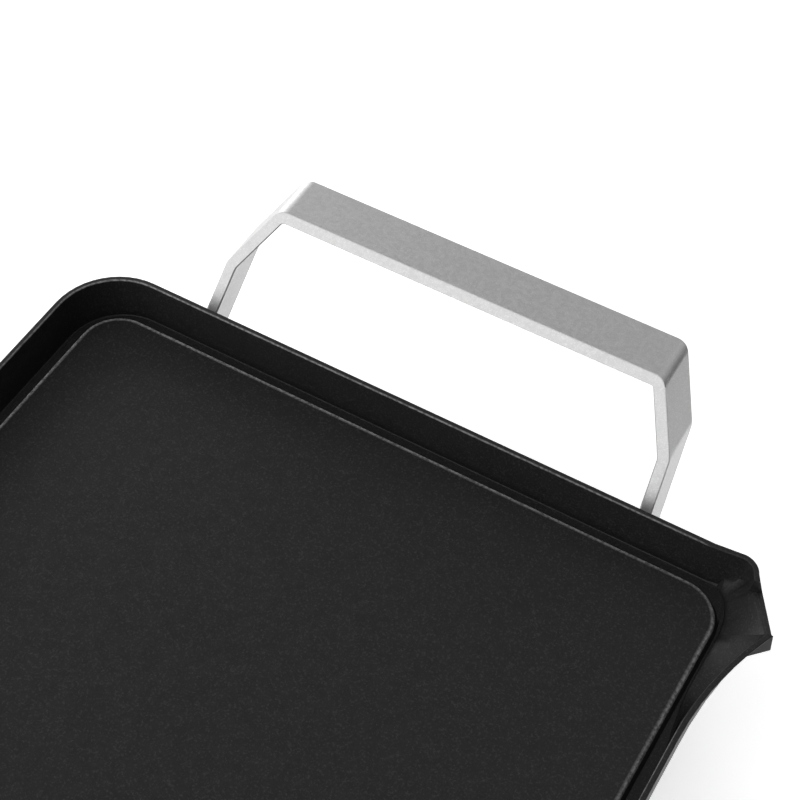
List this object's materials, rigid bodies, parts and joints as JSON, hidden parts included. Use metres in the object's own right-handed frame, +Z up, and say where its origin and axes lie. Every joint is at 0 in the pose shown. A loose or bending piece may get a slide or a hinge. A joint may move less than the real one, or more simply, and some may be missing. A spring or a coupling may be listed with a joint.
{
  "type": "electric griddle",
  "caption": "Electric table griddle: black non-stick cast plate with raised rim, gutter and corner pouring spout, cast aluminium handles, and a plug-in dial control.",
  "frame": {"origin": "centre of the bounding box, on the surface that the foot pads stand on", "axes": "+Z up; +Y along the plate to the end with the spout; +X to the side that the spout pours over"},
  "size_m": [0.2916, 0.6393, 0.1023],
  "materials": {
    "plate_coating": "non-stick coating, fine satin grain",
    "handle_cast": "blasted satin",
    "foot_plastic": "fine texture",
    "pad_rubber": "matt",
    "screw_zinc": "zinc plated",
    "element_sheath": "heat-darkened sheath",
    "shield_sheet": "coated sheet",
    "guard_steel": "pressed sheet",
    "contact_metal": "nickel plated",
    "ceramic": "unglazed ceramic",
    "probe_steel": "bright",
    "contact_brass": "plain",
    "lamp_glass": "clear",
    "lens": "clear red",
    "control_plastic": "fine texture",
    "gland_rubber": "matt",
    "dial_plastic": "satin"
  },
  "bodies": {
    "base": {"griddle_plate": "plate_coating", "handle_far": "handle_cast", "handle_near": "handle_cast", "heating_element": "element_sheath", "heat_shield": "shield_sheet", "socket_guard": "guard_steel", "terminal_pin_left": "contact_metal", "terminal_pin_right": "contact_metal", "pin_bead_left": "ceramic", "pin_bead_right": "ceramic", "foot_far_left": "foot_plastic", "foot_pad_far_left": "pad_rubber", "foot_screw_far_left": "screw_zinc", "foot_far_right": "foot_plastic", "foot_pad_far_right": "pad_rubber", "foot_screw_far_right": "screw_zinc", "foot_near_left": "foot_plastic", "foot_pad_near_left": "pad_rubber", "foot_screw_near_left": "screw_zinc", "foot_near_right": "foot_plastic", "foot_pad_near_right": "pad_rubber", "foot_screw_near_right": "screw_zinc", "element_clamp_1": "shield_sheet", "clamp_screw_1": "screw_zinc", "shield_screw_1": "screw_zinc", "element_clamp_2": "shield_sheet", "clamp_screw_2": "screw_zinc", "shield_screw_2": "screw_zinc", "element_clamp_3": "shield_sheet", "clamp_screw_3": "screw_zinc", "shield_screw_3": "screw_zinc", "element_clamp_4": "shield_sheet", "clamp_screw_4": "screw_zinc", "shield_screw_4": "screw_zinc", "guard_screw_1": "screw_zinc", "guard_screw_2": "screw_zinc"},
    "control": {"control_housing_lower": "control_plastic", "control_housing_upper": "control_plastic", "probe_rod": "probe_steel", "switch_frame": "shield_sheet", "switch_block": "ceramic", "switch_spacer": "ceramic", "bimetal_blade": "contact_brass", "contact_blade": "contact_brass", "contact_clip_left": "contact_brass", "contact_clip_right": "contact_brass", "indicator_lamp": "lamp_glass", "indicator_lens": "lens", "cord_gland": "gland_rubber", "housing_screw_1": "screw_zinc", "housing_screw_2": "screw_zinc"},
    "dial": {"control_dial": "dial_plastic", "dial_shaft": "probe_steel"}
  },
  "joints": [
    {"name": "control_pull_out", "type": "slide", "parent": "base", "child": "control", "axis": [0, -1, 0], "range_m": [0, 0.06]},
    {"name": "dial_turn", "type": "hinge", "parent": "control", "child": "dial", "pos_m": [-0.00555, -0.28955, 0.064], "axis": [0, 0, -1], "range_deg": [0, 270]}
  ]
}
